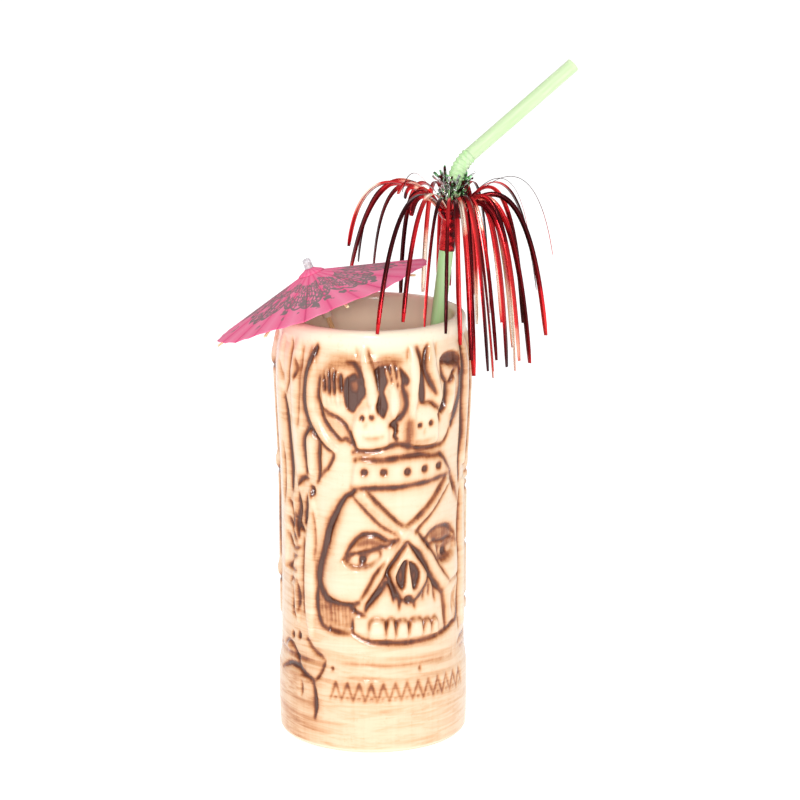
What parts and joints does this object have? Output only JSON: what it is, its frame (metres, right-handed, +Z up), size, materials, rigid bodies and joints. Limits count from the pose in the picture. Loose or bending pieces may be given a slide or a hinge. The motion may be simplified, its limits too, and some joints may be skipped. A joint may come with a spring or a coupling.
{
  "type": "tiki mug",
  "caption": "Tall skull-carved ceramic tiki mug holding a bendy straw tied with a foil spray and a folding paper cocktail parasol.",
  "frame": {"origin": "centre of the mug's flat base", "axes": "+Z up the mug; the carved skull faces -Y; the straw bends towards +X"},
  "size_m": [0.1441, 0.099, 0.2604],
  "materials": {
    "glaze": "cream gloss glaze with brown-black stain in the carving",
    "straw_plastic": "translucent green",
    "foil_red": "red metallised film",
    "foil_silver": "silver metallised film",
    "pale_wood": "bare birch",
    "canopy_paper": "pink printed tissue",
    "clear_plastic": "clear",
    "paper_tube": "rolled paper",
    "thread": "cotton"
  },
  "bodies": {
    "mug": {"mug_body": "glaze"},
    "straw": {"foil_binding": "foil_red", "foil_sleeve": "foil_red", "foil_strands_back": "foil_red", "foil_strands_front": "foil_red", "foil_strands_left": "foil_red", "foil_strands_right": "foil_red", "foil_tuft": "foil_silver", "straw_lower_tube": "straw_plastic", "straw_bellows": "straw_plastic"},
    "straw_top": {"straw_upper_tube": "straw_plastic"},
    "runner": {"parasol_runner": "pale_wood", "parasol_stop_sleeve": "paper_tube"},
    "parasol": {"parasol_stick": "pale_wood", "parasol_tip_sleeve": "clear_plastic", "parasol_crown": "pale_wood", "parasol_thread": "thread", "parasol_canopy": "canopy_paper"},
    "rib_1": {"parasol_rib_1": "pale_wood", "parasol_pin_1": "pale_wood"},
    "strut_1": {"parasol_strut_1": "pale_wood"},
    "rib_2": {"parasol_rib_2": "pale_wood", "parasol_pin_2": "pale_wood"},
    "strut_2": {"parasol_strut_2": "pale_wood"},
    "rib_3": {"parasol_rib_3": "pale_wood", "parasol_pin_3": "pale_wood"},
    "strut_3": {"parasol_strut_3": "pale_wood"},
    "rib_4": {"parasol_rib_4": "pale_wood", "parasol_pin_4": "pale_wood"},
    "strut_4": {"parasol_strut_4": "pale_wood"},
    "rib_5": {"parasol_rib_5": "pale_wood", "parasol_pin_5": "pale_wood"},
    "strut_5": {"parasol_strut_5": "pale_wood"},
    "rib_6": {"parasol_rib_6": "pale_wood", "parasol_pin_6": "pale_wood"},
    "strut_6": {"parasol_strut_6": "pale_wood"},
    "rib_7": {"parasol_rib_7": "pale_wood", "parasol_pin_7": "pale_wood"},
    "strut_7": {"parasol_strut_7": "pale_wood"},
    "rib_8": {"parasol_rib_8": "pale_wood", "parasol_pin_8": "pale_wood"},
    "strut_8": {"parasol_strut_8": "pale_wood"}
  },
  "joints": [
    {"name": "straw_lift", "type": "slide", "parent": "mug", "child": "straw", "axis": [0.1288, 0, 0.9917], "range_m": [0, 0.17]},
    {"name": "straw_bend", "type": "hinge", "parent": "straw", "child": "straw_top", "pos_m": [0.03495, -0.002, 0.22199], "axis": [0, 1, 0], "range_deg": [-47, 38], "deforming": ["straw_bellows"]},
    {"name": "parasol_lift", "type": "slide", "parent": "mug", "child": "runner", "axis": [-0.2808, 0.2356, 0.9304], "range_m": [0, 0.1]},
    {"name": "parasol_fold", "type": "slide", "parent": "runner", "child": "parasol", "axis": [-0.2808, 0.2356, 0.9304], "range_m": [0, 0.0348], "deforming": ["parasol_canopy"]},
    {"name": "rib_1_fold", "type": "hinge", "parent": "parasol", "child": "rib_1", "pos_m": [-0.02062, 0.01759, 0.17968], "axis": [-0.2003, -0.9624, 0.1833], "range_deg": [-0.01, 53.01]},
    {"name": "strut_1_fold", "type": "hinge", "parent": "rib_1", "child": "strut_1", "pos_m": [-0.03877, 0.01902, 0.16733], "axis": [-0.2003, -0.9624, 0.1833], "range_deg": [-115.11, 0.01]},
    {"name": "rib_2_fold", "type": "hinge", "parent": "parasol", "child": "rib_2", "pos_m": [-0.02024, 0.0155, 0.18032], "axis": [0.5221, -0.7759, 0.354], "range_deg": [-0.01, 53.01]},
    {"name": "strut_2_fold", "type": "hinge", "parent": "rib_2", "child": "strut_2", "pos_m": [-0.03556, 0.0017, 0.17268], "axis": [0.5221, -0.7759, 0.354], "range_deg": [-115.11, 0.01]},
    {"name": "rib_3_fold", "type": "hinge", "parent": "parasol", "child": "rib_3", "pos_m": [-0.01848, 0.01441, 0.18113], "axis": [0.9386, -0.1349, 0.3174], "range_deg": [-0.01, 53.01]},
    {"name": "strut_3_fold", "type": "hinge", "parent": "rib_3", "child": "strut_3", "pos_m": [-0.02101, -0.00737, 0.17936], "axis": [0.9386, -0.1349, 0.3174], "range_deg": [-115.11, 0.01]},
    {"name": "rib_4_fold", "type": "hinge", "parent": "parasol", "child": "rib_4", "pos_m": [-0.01639, 0.01495, 0.18163], "axis": [0.8054, 0.5852, 0.0949], "range_deg": [-0.01, 53.01]},
    {"name": "strut_4_fold", "type": "hinge", "parent": "rib_4", "child": "strut_4", "pos_m": [-0.00364, -0.00289, 0.18347], "axis": [0.8054, 0.5852, 0.0949], "range_deg": [-115.11, 0.01]},
    {"name": "rib_5_fold", "type": "hinge", "parent": "parasol", "child": "rib_5", "pos_m": [-0.01518, 0.01681, 0.18152], "axis": [0.2003, 0.9624, -0.1833], "range_deg": [-0.01, 53.01]},
    {"name": "strut_5_fold", "type": "hinge", "parent": "rib_5", "child": "strut_5", "pos_m": [0.00637, 0.01253, 0.18259], "axis": [0.2003, 0.9624, -0.1833], "range_deg": [-115.11, 0.01]},
    {"name": "rib_6_fold", "type": "hinge", "parent": "parasol", "child": "rib_6", "pos_m": [-0.01556, 0.0189, 0.18088], "axis": [-0.5221, 0.7759, -0.354], "range_deg": [-0.01, 53.01]},
    {"name": "strut_6_fold", "type": "hinge", "parent": "rib_6", "child": "strut_6", "pos_m": [0.00317, 0.02984, 0.17724], "axis": [-0.5221, 0.7759, -0.354], "range_deg": [-115.11, 0.01]},
    {"name": "rib_7_fold", "type": "hinge", "parent": "parasol", "child": "rib_7", "pos_m": [-0.01732, 0.01999, 0.18007], "axis": [-0.9386, 0.1349, -0.3174], "range_deg": [-0.01, 53.01]},
    {"name": "strut_7_fold", "type": "hinge", "parent": "rib_7", "child": "strut_7", "pos_m": [-0.01138, 0.03892, 0.17055], "axis": [-0.9386, 0.1349, -0.3174], "range_deg": [-115.11, 0.01]},
    {"name": "rib_8_fold", "type": "hinge", "parent": "parasol", "child": "rib_8", "pos_m": [-0.01941, 0.01945, 0.17957], "axis": [-0.8054, -0.5852, -0.0949], "range_deg": [-0.01, 53.01]},
    {"name": "strut_8_fold", "type": "hinge", "parent": "rib_8", "child": "strut_8", "pos_m": [-0.02875, 0.03443, 0.16644], "axis": [-0.8054, -0.5852, -0.0949], "range_deg": [-115.11, 0.01]}
  ],
  "couplings": [
    {"joint": "rib_1_fold", "follows": "parasol_fold", "rad_per_m": 26.581},
    {"joint": "strut_1_fold", "follows": "parasol_fold", "rad_per_m": -57.725},
    {"joint": "rib_2_fold", "follows": "parasol_fold", "rad_per_m": 26.581},
    {"joint": "strut_2_fold", "follows": "parasol_fold", "rad_per_m": -57.725},
    {"joint": "rib_3_fold", "follows": "parasol_fold", "rad_per_m": 26.581},
    {"joint": "strut_3_fold", "follows": "parasol_fold", "rad_per_m": -57.725},
    {"joint": "rib_4_fold", "follows": "parasol_fold", "rad_per_m": 26.581},
    {"joint": "strut_4_fold", "follows": "parasol_fold", "rad_per_m": -57.725},
    {"joint": "rib_5_fold", "follows": "parasol_fold", "rad_per_m": 26.581},
    {"joint": "strut_5_fold", "follows": "parasol_fold", "rad_per_m": -57.725},
    {"joint": "rib_6_fold", "follows": "parasol_fold", "rad_per_m": 26.581},
    {"joint": "strut_6_fold", "follows": "parasol_fold", "rad_per_m": -57.725},
    {"joint": "rib_7_fold", "follows": "parasol_fold", "rad_per_m": 26.581},
    {"joint": "strut_7_fold", "follows": "parasol_fold", "rad_per_m": -57.725},
    {"joint": "rib_8_fold", "follows": "parasol_fold", "rad_per_m": 26.581},
    {"joint": "strut_8_fold", "follows": "parasol_fold", "rad_per_m": -57.725}
  ]
}
